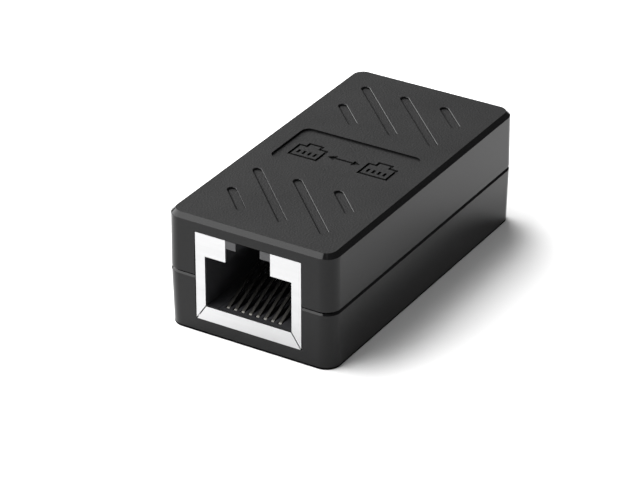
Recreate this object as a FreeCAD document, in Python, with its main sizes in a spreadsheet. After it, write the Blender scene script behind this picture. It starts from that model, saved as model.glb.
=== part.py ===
import FreeCAD, Part
import Sketcher
import math
import os

# Shielded inline network coupler: two moulded shell halves around a small circuit board
# that carries two shielded jacks, back to back, with their latch keyways upwards.
# Millimetres. X is the width, Y the length, Z up. The front jack faces -Y and the rear
# jack is the same jack turned half a turn about Z. The origin is the middle of the
# underside.

SIZES = {
    # moulded shell, outside
    "body_length": 44.45,
    "body_width": 22.86,
    "body_height": 15.24,
    "parting_height": 7.55,
    "corner_radius": 1.9,
    "top_chamfer": 0.55,
    "bottom_chamfer": 0.4,
    "parting_chamfer": 0.25,
    "upper_draft": 0.45,
    "lower_draft": 1.1,
    # moulded shell, inside
    "side_wall": 1.5,
    "end_wall": 1.5,
    "floor_thickness": 0.9,
    "roof_thickness": 1.74,
    "inner_radius": 0.8,
    "lip_thickness": 0.6,
    "lip_height": 0.8,
    "lip_clearance": 0.08,
    "post_spacing": 24.0,
    "post_wall_gap": 0.15,
    "post_jack_gap": 0.2,
    "post_skin": 0.5,
    "post_rib": 1.0,
    "pin_reach": 2.4,
    "pin_clearance": 0.05,
    # sunken panel and slanted slots in the top
    "panel_length": 16.5,
    "panel_width": 8.75,
    "panel_radius": 1.05,
    "panel_depth": 0.22,
    "groove_width": 1.2,
    "groove_depth": 0.3,
    "groove_pitch": 5.65,
    "groove_field_x": 14.7,
    "groove_field_y": 9.15,
    "groove_group_spacing": 25.6,
    # circuit board
    "board_thickness": 0.8,
    "solder_room": 0.2,
    "board_clearance": 0.15,
    "board_corner": 1.2,
    "hole_clearance": 0.06,
    "tail_clearance": 0.05,
    # jack shield, folded from sheet
    "frame_width": 14.4,
    "sheet": 0.3,
    "jack_length": 19.0,
    "face_inset": 0.06,
    "window_clearance": 0.05,
    "side_strip": 1.3,
    "bottom_strip": 1.93,
    "plug_height": 6.69,
    "mitre_gap": 0.1,
    "bottom_return": 1.25,
    "top_notch": 2.4,
    "leg_width": 1.4,
    "leg_front": 5.0,
    "leg_spacing": 9.0,
    "barb_depth": 14.0,
    "barb_height": 6.0,
    "barb_width": 1.6,
    "barb_rise": 1.0,
    "barb_proud": 0.2,
    # jack housing, moulded
    "fit_gap": 0.03,
    "cavity_depth": 12.0,
    "keyway_width": 6.1,
    "ledge_height": 1.08,
    "latch_slot": 3.3,
    "latch_wall": 1.6,
    "latch_recess": 9.5,
    "core_wall": 1.2,
    "peg_radius": 0.9,
    "peg_depth": 8.0,
    "peg_spacing": 10.6,
    # contact carrier and contacts
    "contact_pitch": 1.02,
    "contact_width": 0.42,
    "contact_thickness": 0.28,
    "contact_side_gap": 0.09,
    "carrier_wall": 0.45,
    "carrier_rear": 16.7,
    "bend_depth": 1.2,
    "bend_radius": 0.45,
    "run_height": 0.95,
    "arm_angle": 24.0,
    "arm_reach": 11.0,
    "comb_front": 10.3,
    "comb_web": 0.5,
    "comb_rise": 5.0,
    "comb_roof": 0.3,
    "tail_row": 13.0,
    "tail_row_pitch": 2.54,
    "tail_bend": 0.4,
    "channel_gap": 0.06,
}
CONTACTS = 8
HALF_ROW = (CONTACTS - 1) / 2
HALF_TURN = 180
SAME_LEVEL = 1e-4
PIPE_TOLERANCE = 0.01

# Places worked out from the sizes, as expressions that the sketches and features follow.
FRONT = "(-Sizes.body_length / 2 + Sizes.face_inset)"
INSIDE_X = "(Sizes.body_width / 2 - Sizes.side_wall)"
INSIDE_Y = "(Sizes.body_length / 2 - Sizes.end_wall)"
BOARD_LOW = "(Sizes.floor_thickness + Sizes.solder_room)"
BOARD_TOP = "(Sizes.floor_thickness + Sizes.solder_room + Sizes.board_thickness)"
TAIL_LOW = "(Sizes.floor_thickness + Sizes.tail_clearance)"
CEILING = "(Sizes.body_height - Sizes.roof_thickness)"
FRAME_TOP = f"({CEILING} - Sizes.window_clearance)"
FRAME_X = "(Sizes.frame_width / 2)"
WINDOW_X = f"({FRAME_X} + Sizes.window_clearance)"
POST_RADIUS = f"(({INSIDE_X} - {FRAME_X} - Sizes.post_wall_gap - Sizes.post_jack_gap) / 2)"
PIN_RADIUS = f"({POST_RADIUS} - Sizes.post_skin - Sizes.pin_clearance)"
POST_X = f"({INSIDE_X} - Sizes.post_wall_gap - {POST_RADIUS})"
POST_Y = "(Sizes.post_spacing / 2)"
LIP_TOP = "(Sizes.parting_height + Sizes.lip_height)"
REBATE_TOP = f"({LIP_TOP} + Sizes.lip_clearance)"
CAVITY_X = f"({FRAME_X} - Sizes.side_strip)"
CAVITY_LOW = f"({BOARD_TOP} + Sizes.bottom_strip)"
CAVITY_TOP = f"({CAVITY_LOW} + Sizes.plug_height)"
KEYWAY_X = "(Sizes.keyway_width / 2)"
KEYWAY_TOP = f"({FRAME_TOP} - Sizes.ledge_height)"
METAL_IN = "(Sizes.sheet + Sizes.fit_gap)"
HOUSING_X = f"({FRAME_X} - {METAL_IN})"
HOUSING_TOP = f"({FRAME_TOP} - {METAL_IN})"
HOUSING_BACK = f"(Sizes.jack_length - {METAL_IN})"
RETURN_END = "(Sizes.bottom_return + Sizes.fit_gap)"
CHANNEL_X = "(Sizes.contact_width / 2 + Sizes.contact_side_gap)"
CARRIER_X = f"({HALF_ROW} * Sizes.contact_pitch + {CHANNEL_X} + Sizes.carrier_wall)"
RUN_Z = f"({BOARD_TOP} + Sizes.run_height)"
CHANNEL_LOW = f"({RUN_Z} - Sizes.contact_thickness / 2 - Sizes.channel_gap)"
CHANNEL_FRONT = "(Sizes.bend_depth - Sizes.contact_thickness / 2 - Sizes.channel_gap)"
CARRIER_TOP = f"({CAVITY_LOW} - Sizes.fit_gap)"
COMB_TOP = f"({CAVITY_LOW} + Sizes.comb_rise)"

doc = FreeCAD.newDocument("coupler")
sheet = doc.addObject("Spreadsheet::Sheet", "Sizes")
for row, (alias, size) in enumerate(SIZES.items(), start=1):
    sheet.set(f"A{row}", alias)
    sheet.set(f"B{row}", str(size))
    sheet.setAlias(f"B{row}", alias)
doc.recompute()


def value(expression):
    """The present value of an expression, for placing a sketch's first geometry."""
    return float(sheet.evalExpression(expression.replace("Sizes.", "")))


def at_depth(depth):
    """The place on Y that lies this far behind the front jack's face."""
    return f"({FRONT} + {depth})"


def new_body(name, turned=False):
    """One sub-part, turned half a turn about Z when it belongs to the rear jack."""
    body = doc.addObject("PartDesign::Body", name)
    body.Label = name
    if turned:
        rotation = FreeCAD.Rotation(FreeCAD.Vector(0, 0, 1), HALF_TURN)
        body.Placement = FreeCAD.Placement(FreeCAD.Vector(0, 0, 0), rotation)
    return body


def new_sketch(body, name, plane, offset="0"):
    """A sketch on one of the body's own planes, moved along X, Y or Z by the offset."""
    sketch = body.newObject("Sketcher::SketchObject", name)
    origin_plane = next(part for part in body.Origin.OriginFeatures if part.Role == plane)
    sketch.AttachmentSupport = [(origin_plane, "")]
    sketch.MapMode = "FlatFace"
    sign = "-1 * " if plane == "XZ_Plane" else ""
    sketch.setExpression("AttachmentOffset.Base.z", f"{sign}{offset}")
    return sketch


def drive(sketch, constraint, expression):
    """Adds a driving dimension that follows the expression."""
    index = sketch.addConstraint(constraint)
    sketch.setExpression(f"Constraints[{index}]", expression)


def pin_point(sketch, geometry, end, across, along):
    """Holds one point of the geometry at a place that follows two expressions."""
    drive(sketch, Sketcher.Constraint("DistanceX", -1, 1, geometry, end, value(across)), across)
    drive(sketch, Sketcher.Constraint("DistanceY", -1, 1, geometry, end, value(along)), along)


def add_polygon(sketch, corners):
    """A closed outline of straight lines through corners given as pairs of expressions."""
    places = [FreeCAD.Vector(value(across), value(along), 0) for across, along in corners]
    first = None
    for start, end in zip(places, places[1:] + places[:1]):
        index = sketch.addGeometry(Part.LineSegment(start, end), False)
        first = index if first is None else first
    for step, (across, along) in enumerate(corners):
        line = first + step
        following = first + (step + 1) % len(corners)
        sketch.addConstraint(Sketcher.Constraint("Coincident", line, 2, following, 1))
        pin_point(sketch, line, 1, across, along)


def add_rectangle(sketch, left, right, low, high):
    """A rectangle between four expressions."""
    add_polygon(sketch, [(left, low), (right, low), (right, high), (left, high)])


def add_circle(sketch, across, along, radius):
    """A circle whose centre and radius follow expressions."""
    centre = FreeCAD.Vector(value(across), value(along), 0)
    circle = Part.Circle(centre, FreeCAD.Vector(0, 0, 1), value(radius))
    index = sketch.addGeometry(circle, False)
    pin_point(sketch, index, 3, across, along)
    drive(sketch, Sketcher.Constraint("Radius", index, value(radius)), radius)


def add_slot(sketch, start, end, radius):
    """A round-ended slot between two centres given as pairs of expressions."""
    first = FreeCAD.Vector(value(start[0]), value(start[1]), 0)
    last = FreeCAD.Vector(value(end[0]), value(end[1]), 0)
    heading = math.atan2(last.y - first.y, last.x - first.x)
    size = value(radius)
    side = FreeCAD.Vector(-math.sin(heading), math.cos(heading), 0) * size
    up = FreeCAD.Vector(0, 0, 1)
    quarter = math.pi / 2
    near = Part.ArcOfCircle(Part.Circle(first, up, size), heading + quarter, heading - quarter)
    far = Part.ArcOfCircle(Part.Circle(last, up, size), heading - quarter, heading + quarter)
    arc_near = sketch.addGeometry(near, False)
    right = sketch.addGeometry(Part.LineSegment(first - side, last - side), False)
    arc_far = sketch.addGeometry(far, False)
    left = sketch.addGeometry(Part.LineSegment(last + side, first + side), False)
    for before, after in [(arc_near, right), (right, arc_far), (arc_far, left), (left, arc_near)]:
        sketch.addConstraint(Sketcher.Constraint("Tangent", before, 2, after, 1))
    pin_point(sketch, arc_near, 3, start[0], start[1])
    pin_point(sketch, arc_far, 3, end[0], end[1])
    drive(sketch, Sketcher.Constraint("Radius", arc_near, size), radius)


def extrude(kind, body, name, plane, start, length, draw):
    """Pads or pockets what draw puts in the sketch, from start towards plus X, Y or Z."""
    before = body.Shape.Volume if body.Tip else 0.0
    sketch = new_sketch(body, f"{name}_sketch", plane, start)
    draw(sketch)
    feature = body.newObject(f"PartDesign::{kind}", name)
    feature.Profile = sketch
    feature.setExpression("Length", length)
    along_y = plane == "XZ_Plane"
    feature.Reversed = along_y if kind == "Pad" else not along_y
    doc.recompute()
    change = body.Shape.Volume - before
    if (change > 0) != (kind == "Pad"):
        raise RuntimeError(f"{body.Label}: {name} changed the volume by {change}")
    return feature


def edges_at(body, wanted):
    """Names of the body's edges for which wanted(edge) is true."""
    return [f"Edge{i}" for i, edge in enumerate(body.Shape.Edges, start=1) if wanted(edge)]


def dress(kind, body, name, wanted, prop, expression):
    """A fillet or chamfer on the edges that wanted picks."""
    names = edges_at(body, wanted)
    if not names:
        raise RuntimeError(f"{body.Label}: no edges for {name}")
    base = body.Tip
    feature = body.newObject(f"PartDesign::{kind}", name)
    feature.Base = (base, names)
    feature.setExpression(prop, expression)
    doc.recompute()
    return feature


def upright_corner(edge):
    """True for the four slanting corner edges of a tapered block."""
    box = edge.BoundBox
    return box.ZLength > 2 * max(box.XLength, box.YLength)


def level_at(height):
    """Picks edges that lie flat at one height."""
    def is_level(edge):
        box = edge.BoundBox
        return box.ZLength < SAME_LEVEL and abs(box.ZMin - height) < SAME_LEVEL
    return is_level


def four_ways(x, y):
    """The four places that mirror one place in both middle planes."""
    return [(f"{sx} * {x}", f"{sy} * {y}") for sx in (-1, 1) for sy in (-1, 1)]


def both_jacks(x, depth):
    """A place behind the front jack's face and its twin in the turned rear jack."""
    return [(x, at_depth(depth)), (f"-1 * {x}", f"-1 * {at_depth(depth)}")]


# Shell halves

def shell_block(body, upper):
    """The solid outside of one half: tapered from the parting line, with broken edges."""
    sketch = new_sketch(body, "outline", "XY_Plane", "Sizes.parting_height")
    add_rectangle(
        sketch,
        "-Sizes.body_width / 2",
        "Sizes.body_width / 2",
        "-Sizes.body_length / 2",
        "Sizes.body_length / 2",
    )
    block = body.newObject("PartDesign::Pad", "block")
    block.Profile = sketch
    block.Reversed = not upper
    rise = "Sizes.body_height - Sizes.parting_height" if upper else "Sizes.parting_height"
    block.setExpression("Length", rise)
    block.setExpression("TaperAngle", "-1 * Sizes.upper_draft" if upper else "-1 * Sizes.lower_draft")
    doc.recompute()
    dress("Fillet", body, "corners", upright_corner, "Radius", "Sizes.corner_radius")
    outer = value("Sizes.body_height") if upper else 0.0
    outer_size = "Sizes.top_chamfer" if upper else "Sizes.bottom_chamfer"
    dress("Chamfer", body, "outer_edge", level_at(outer), "Size", outer_size)
    parting = level_at(value("Sizes.parting_height"))
    dress("Chamfer", body, "parting_edge", parting, "Size", "Sizes.parting_chamfer")


def add_round_rectangle(sketch, half_x, half_y, radius):
    """A centred rectangle with round corners."""
    hx = value(half_x)
    hy = value(half_y)
    size = value(radius)
    up = FreeCAD.Vector(0, 0, 1)
    quarter = math.pi / 2
    arcs = []
    for step, (sx, sy) in enumerate([(1, 1), (-1, 1), (-1, -1), (1, -1)]):
        centre = FreeCAD.Vector(sx * (hx - size), sy * (hy - size), 0)
        arc = Part.ArcOfCircle(Part.Circle(centre, up, size), step * quarter, (step + 1) * quarter)
        arcs.append(sketch.addGeometry(arc, False))
        pin_point(
            sketch,
            arcs[-1],
            3,
            f"{sx} * ({half_x} - {radius})",
            f"{sy} * ({half_y} - {radius})",
        )
    for step, arc in enumerate(arcs):
        following = arcs[(step + 1) % 4]
        start = sketch.getPoint(arc, 2)
        end = sketch.getPoint(following, 1)
        line = sketch.addGeometry(Part.LineSegment(start, end), False)
        sketch.addConstraint(Sketcher.Constraint("Tangent", arc, 2, line, 1))
        sketch.addConstraint(Sketcher.Constraint("Tangent", line, 2, following, 1))
    drive(sketch, Sketcher.Constraint("Radius", arcs[0], size), radius)


def draw_window(low, high):
    """The opening that both jack frames look out of, between two heights."""
    def draw(sketch):
        add_rectangle(sketch, f"-1 * {WINDOW_X}", WINDOW_X, low, high)
    return draw


def draw_circles(places, radius):
    """One circle at each place."""
    def draw(sketch):
        for across, along in places:
            add_circle(sketch, across, along, radius)
    return draw


def lower_shell():
    """Bottom half: floor, walls, locating lip, board rests and their pins."""
    body = new_body("lower_shell")
    shell_block(body, upper=False)

    def inside(sketch):
        add_round_rectangle(sketch, INSIDE_X, INSIDE_Y, "Sizes.inner_radius")

    depth = "Sizes.parting_height - Sizes.floor_thickness"
    extrude("Pocket", body, "hollow", "XY_Plane", "Sizes.floor_thickness", depth, inside)

    def lip(sketch):
        inside(sketch)
        add_round_rectangle(
            sketch,
            f"({INSIDE_X} + Sizes.lip_thickness)",
            f"({INSIDE_Y} + Sizes.lip_thickness)",
            "(Sizes.inner_radius + Sizes.lip_thickness)",
        )

    extrude("Pad", body, "lip", "XY_Plane", "Sizes.parting_height", "Sizes.lip_height", lip)
    places = four_ways(POST_X, POST_Y)
    rests = draw_circles(places, POST_RADIUS)
    extrude("Pad", body, "rests", "XY_Plane", "Sizes.floor_thickness", "Sizes.solder_room", rests)
    pins = draw_circles(places, PIN_RADIUS)
    reach = "Sizes.board_thickness + Sizes.pin_reach"
    extrude("Pad", body, "pins", "XY_Plane", BOARD_LOW, reach, pins)
    window = draw_window(f"({BOARD_TOP} - Sizes.window_clearance)", REBATE_TOP)
    extrude("Pocket", body, "windows", "XZ_Plane", "-Sizes.body_length / 2", "Sizes.body_length", window)
    return body


def groove_ends(offset):
    """Both centres of a slanted slot whose line is x + y = offset, inside its field."""
    half_x = "(Sizes.groove_field_x / 2)"
    half_y = "(Sizes.groove_field_y / 2)"
    left = f"max(-1 * {half_x}; {offset} - {half_y})"
    right = f"min({half_x}; {offset} + {half_y})"
    return (left, f"({offset} - {left})"), (right, f"({offset} - {right})")


def draw_grooves(sketch):
    """Two groups of slanted slots, short, long, long, short, one group at each end."""
    for group in (-1, 1):
        middle = f"({group} * Sizes.groove_group_spacing / 2)"
        for step in (-1.5, -0.5, 0.5, 1.5):
            start, end = groove_ends(f"({step} * Sizes.groove_pitch)")
            add_slot(
                sketch,
                (start[0], f"({middle} + {start[1]})"),
                (end[0], f"({middle} + {end[1]})"),
                "(Sizes.groove_width / 2)",
            )


def upper_shell():
    """Top half: roof with its sunken decoration, walls, rebate and hollow posts."""
    body = new_body("upper_shell")
    shell_block(body, upper=True)

    def inside(sketch):
        add_round_rectangle(sketch, INSIDE_X, INSIDE_Y, "Sizes.inner_radius")

    height = f"{CEILING} - Sizes.parting_height"
    extrude("Pocket", body, "hollow", "XY_Plane", "Sizes.parting_height", height, inside)

    def rebate(sketch):
        add_round_rectangle(
            sketch,
            f"({INSIDE_X} + Sizes.lip_thickness + Sizes.lip_clearance)",
            f"({INSIDE_Y} + Sizes.lip_thickness + Sizes.lip_clearance)",
            "(Sizes.inner_radius + Sizes.lip_thickness + Sizes.lip_clearance)",
        )

    rebate_rise = "Sizes.lip_height + Sizes.lip_clearance"
    extrude("Pocket", body, "rebate", "XY_Plane", "Sizes.parting_height", rebate_rise, rebate)
    places = four_ways(POST_X, POST_Y)
    posts = draw_circles(places, POST_RADIUS)
    extrude("Pad", body, "posts", "XY_Plane", BOARD_TOP, f"{CEILING} - {BOARD_TOP}", posts)

    def ribs(sketch):
        for side in (-1, 1):
            for end in (-1, 1):
                add_rectangle(
                    sketch,
                    f"{side} * {POST_X}",
                    f"{side} * {INSIDE_X}",
                    f"{end} * {POST_Y} - Sizes.post_rib / 2",
                    f"{end} * {POST_Y} + Sizes.post_rib / 2",
                )

    rib_low = f"({REBATE_TOP} + Sizes.lip_clearance)"
    extrude("Pad", body, "ribs", "XY_Plane", rib_low, f"{CEILING} - {rib_low}", ribs)
    bores = draw_circles(places, f"({PIN_RADIUS} + Sizes.pin_clearance)")
    bore_reach = "Sizes.pin_reach + 2 * Sizes.pin_clearance"
    extrude("Pocket", body, "bores", "XY_Plane", BOARD_TOP, bore_reach, bores)
    window = draw_window("Sizes.parting_height", CEILING)
    extrude("Pocket", body, "windows", "XZ_Plane", "-Sizes.body_length / 2", "Sizes.body_length", window)

    def panel(sketch):
        add_round_rectangle(
            sketch,
            "(Sizes.panel_length / 2)",
            "(Sizes.panel_width / 2)",
            "Sizes.panel_radius",
        )

    panel_low = "(Sizes.body_height - Sizes.panel_depth)"
    extrude("Pocket", body, "panel", "XY_Plane", panel_low, "Sizes.panel_depth", panel)
    groove_low = "(Sizes.body_height - Sizes.groove_depth)"
    extrude("Pocket", body, "grooves", "XY_Plane", groove_low, "Sizes.groove_depth", draw_grooves)
    return body


# Circuit board

def contact_x(number):
    """The place of a contact across the jack, counted from 1 at its left."""
    return f"({number - 1 - HALF_ROW} * Sizes.contact_pitch)"


def tail_depth(number):
    """How far behind the face a contact's solder tail stands: two staggered rows."""
    return "Sizes.tail_row" if number % 2 else "(Sizes.tail_row + Sizes.tail_row_pitch)"


def leg_depths():
    """How far behind the face the shield's solder legs stand."""
    return ["Sizes.leg_front", "(Sizes.leg_front + Sizes.leg_spacing)"]


def circuit_board():
    """Board on the lower shell's rests, drilled for pins, pegs, legs and tails."""
    body = new_body("circuit_board")

    def outline(sketch):
        add_round_rectangle(
            sketch,
            f"({INSIDE_X} - Sizes.board_clearance)",
            f"({INSIDE_Y} - Sizes.board_clearance)",
            "Sizes.board_corner",
        )

    extrude("Pad", body, "board", "XY_Plane", BOARD_LOW, "Sizes.board_thickness", outline)

    def holes(sketch):
        for across, along in four_ways(POST_X, POST_Y):
            add_circle(sketch, across, along, f"({PIN_RADIUS} + Sizes.hole_clearance)")
        for side in (-1, 1):
            for across, along in both_jacks(f"({side} * Sizes.peg_spacing / 2)", "Sizes.peg_depth"):
                add_circle(sketch, across, along, "(Sizes.peg_radius + Sizes.hole_clearance)")
        half_tail = "(Sizes.contact_width / 2 + Sizes.hole_clearance)"
        for number in range(1, CONTACTS + 1):
            for across, along in both_jacks(contact_x(number), tail_depth(number)):
                add_rectangle(
                    sketch,
                    f"{across} - {half_tail}",
                    f"{across} + {half_tail}",
                    f"{along} - {half_tail}",
                    f"{along} + {half_tail}",
                )
        middle = f"({FRAME_X} - Sizes.sheet / 2)"
        half_sheet = "(Sizes.sheet / 2 + Sizes.hole_clearance)"
        half_leg = "(Sizes.leg_width / 2 + Sizes.hole_clearance)"
        for side in (-1, 1):
            for depth in leg_depths():
                for across, along in both_jacks(f"({side} * {middle})", depth):
                    add_rectangle(
                        sketch,
                        f"{across} - {half_sheet}",
                        f"{across} + {half_sheet}",
                        f"{along} - {half_leg}",
                        f"{along} + {half_leg}",
                    )

    extrude("Pocket", body, "holes", "XY_Plane", BOARD_LOW, "Sizes.board_thickness", holes)
    return body


# Jack shield

def opening_corners():
    """The plug opening in a jack's face, with the latch keyway up to the frame's top."""
    return [
        (f"-1 * {CAVITY_X}", CAVITY_LOW),
        (CAVITY_X, CAVITY_LOW),
        (CAVITY_X, CAVITY_TOP),
        (KEYWAY_X, CAVITY_TOP),
        (KEYWAY_X, FRAME_TOP),
        (f"-1 * {KEYWAY_X}", FRAME_TOP),
        (f"-1 * {KEYWAY_X}", CAVITY_TOP),
        (f"-1 * {CAVITY_X}", CAVITY_TOP),
    ]


def jack_shield(name, turned):
    """Sheet box round a jack: face with tabs, mitred bottom strip, solder legs."""
    body = new_body(name, turned)

    def outside(sketch):
        add_rectangle(sketch, f"-1 * {FRAME_X}", FRAME_X, BOARD_TOP, FRAME_TOP)

    extrude("Pad", body, "box", "XZ_Plane", FRONT, "Sizes.jack_length", outside)

    def inside(sketch):
        inner = f"({FRAME_X} - Sizes.sheet)"
        low = f"({BOARD_TOP} + Sizes.sheet)"
        add_rectangle(sketch, f"-1 * {inner}", inner, low, f"({FRAME_TOP} - Sizes.sheet)")

    inner_length = "Sizes.jack_length - 2 * Sizes.sheet"
    extrude("Pocket", body, "hollow", "XZ_Plane", at_depth("Sizes.sheet"), inner_length, inside)

    def underside(sketch):
        inner = f"({FRAME_X} - Sizes.sheet)"
        back = at_depth("(Sizes.jack_length - Sizes.sheet)")
        add_rectangle(sketch, f"-1 * {inner}", inner, at_depth("Sizes.bottom_return"), back)

    extrude("Pocket", body, "open_underside", "XY_Plane", BOARD_TOP, "Sizes.sheet", underside)

    def opening(sketch):
        add_polygon(sketch, opening_corners())

    extrude("Pocket", body, "opening", "XZ_Plane", FRONT, "Sizes.sheet", opening)

    def notch(sketch):
        add_rectangle(sketch, f"-1 * {KEYWAY_X}", KEYWAY_X, FRONT, at_depth("Sizes.top_notch"))

    notch_low = f"({FRAME_TOP} - Sizes.sheet)"
    extrude("Pocket", body, "top_notch", "XY_Plane", notch_low, "Sizes.sheet", notch)

    def mitres(sketch):
        out_x = f"({FRAME_X} + Sizes.side_strip / 4)"
        out_z = f"({BOARD_TOP} - Sizes.bottom_strip / 4)"
        in_x = f"({CAVITY_X} - Sizes.side_strip / 4)"
        in_z = f"({CAVITY_LOW} + Sizes.bottom_strip / 4)"
        for side in (-1, 1):
            add_polygon(
                sketch,
                [
                    (f"{side} * {out_x} - Sizes.mitre_gap / 2", out_z),
                    (f"{side} * {out_x} + Sizes.mitre_gap / 2", out_z),
                    (f"{side} * {in_x} + Sizes.mitre_gap / 2", in_z),
                    (f"{side} * {in_x} - Sizes.mitre_gap / 2", in_z),
                ],
            )

    extrude("Pocket", body, "mitres", "XZ_Plane", FRONT, "Sizes.sheet", mitres)

    def barb_windows(sketch):
        half = "(Sizes.barb_width / 2 + Sizes.fit_gap)"
        middle = at_depth("Sizes.barb_depth")
        low = f"({BOARD_TOP} + Sizes.barb_height)"
        add_rectangle(
            sketch,
            f"{middle} - {half}",
            f"{middle} + {half}",
            f"{low} - Sizes.fit_gap",
            f"{low} + Sizes.barb_rise + Sizes.fit_gap",
        )

    left_side = f"-1 * {FRAME_X}"
    extrude("Pocket", body, "barb_windows", "YZ_Plane", left_side, "Sizes.frame_width", barb_windows)

    def legs(sketch):
        for side in (-1, 1):
            for depth in leg_depths():
                add_rectangle(
                    sketch,
                    f"{side} * {FRAME_X}",
                    f"{side} * ({FRAME_X} - Sizes.sheet)",
                    f"{at_depth(depth)} - Sizes.leg_width / 2",
                    f"{at_depth(depth)} + Sizes.leg_width / 2",
                )

    extrude("Pad", body, "legs", "XY_Plane", TAIL_LOW, f"{BOARD_TOP} - {TAIL_LOW}", legs)
    return body


# Jack housing

def jack_housing(name, turned):
    """Moulded block with the plug cavity, latch keyway, ledges, core and board pegs."""
    body = new_body(name, turned)

    def outside(sketch):
        add_rectangle(sketch, f"-1 * {HOUSING_X}", HOUSING_X, BOARD_TOP, HOUSING_TOP)

    block_length = f"{HOUSING_BACK} - {METAL_IN}"
    extrude("Pad", body, "block", "XZ_Plane", at_depth(METAL_IN), block_length, outside)

    def nose(sketch):
        inner = f"({KEYWAY_X} - Sizes.fit_gap)"
        add_rectangle(sketch, f"-1 * {inner}", inner, CAVITY_TOP, f"({FRAME_TOP} - Sizes.fit_gap)")

    nose_length = "Sizes.top_notch - 2 * Sizes.fit_gap"
    extrude("Pad", body, "nose", "XZ_Plane", at_depth("Sizes.fit_gap"), nose_length, nose)

    def cavity(sketch):
        add_rectangle(sketch, f"-1 * {CAVITY_X}", CAVITY_X, CAVITY_LOW, CAVITY_TOP)

    extrude("Pocket", body, "cavity", "XZ_Plane", FRONT, "Sizes.cavity_depth", cavity)

    def keyway(sketch):
        add_rectangle(sketch, f"-1 * {KEYWAY_X}", KEYWAY_X, CAVITY_TOP, KEYWAY_TOP)

    extrude("Pocket", body, "keyway", "XZ_Plane", FRONT, "Sizes.cavity_depth", keyway)

    def latch_slot(sketch):
        add_rectangle(sketch, "-Sizes.latch_slot / 2", "Sizes.latch_slot / 2", KEYWAY_TOP, FRAME_TOP)

    extrude("Pocket", body, "latch_slot", "XZ_Plane", FRONT, "Sizes.latch_recess", latch_slot)

    def latch_recess(sketch):
        add_rectangle(sketch, f"-1 * {KEYWAY_X}", KEYWAY_X, KEYWAY_TOP, FRAME_TOP)

    recess_start = at_depth("Sizes.latch_wall")
    recess_length = "Sizes.latch_recess - Sizes.latch_wall"
    extrude("Pocket", body, "latch_recess", "XZ_Plane", recess_start, recess_length, latch_recess)

    def carrier_bay(sketch):
        half = f"({CARRIER_X} + Sizes.fit_gap)"
        back = at_depth("(Sizes.carrier_rear + Sizes.fit_gap)")
        add_rectangle(sketch, f"-1 * {half}", half, FRONT, back)

    extrude("Pocket", body, "carrier_bay", "XY_Plane", BOARD_TOP, "Sizes.bottom_strip", carrier_bay)

    def return_step(sketch):
        add_rectangle(sketch, f"-1 * {HOUSING_X}", HOUSING_X, FRONT, at_depth(RETURN_END))

    extrude("Pocket", body, "return_step", "XY_Plane", BOARD_TOP, METAL_IN, return_step)

    def rear_core(sketch):
        half = f"({HOUSING_X} - Sizes.core_wall)"
        low = f"({CAVITY_LOW} + Sizes.core_wall)"
        add_rectangle(sketch, f"-1 * {half}", half, low, f"({HOUSING_TOP} - Sizes.core_wall)")

    core_start = "(Sizes.cavity_depth + Sizes.core_wall)"
    core_length = f"{HOUSING_BACK} - {core_start}"
    extrude("Pocket", body, "rear_core", "XZ_Plane", at_depth(core_start), core_length, rear_core)

    def barbs(sketch):
        middle = at_depth("Sizes.barb_depth")
        low = f"({BOARD_TOP} + Sizes.barb_height)"
        add_rectangle(
            sketch,
            f"{middle} - Sizes.barb_width / 2",
            f"{middle} + Sizes.barb_width / 2",
            low,
            f"{low} + Sizes.barb_rise",
        )

    left_tip = f"-1 * ({HOUSING_X} + Sizes.barb_proud)"
    extrude("Pad", body, "left_barb", "YZ_Plane", left_tip, "Sizes.barb_proud", barbs)
    extrude("Pad", body, "right_barb", "YZ_Plane", HOUSING_X, "Sizes.barb_proud", barbs)
    places = [(f"{side} * Sizes.peg_spacing / 2", at_depth("Sizes.peg_depth")) for side in (-1, 1)]
    pegs = draw_circles(places, "Sizes.peg_radius")
    extrude("Pad", body, "pegs", "XY_Plane", BOARD_LOW, "Sizes.board_thickness", pegs)
    return body


# Contact carrier

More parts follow.
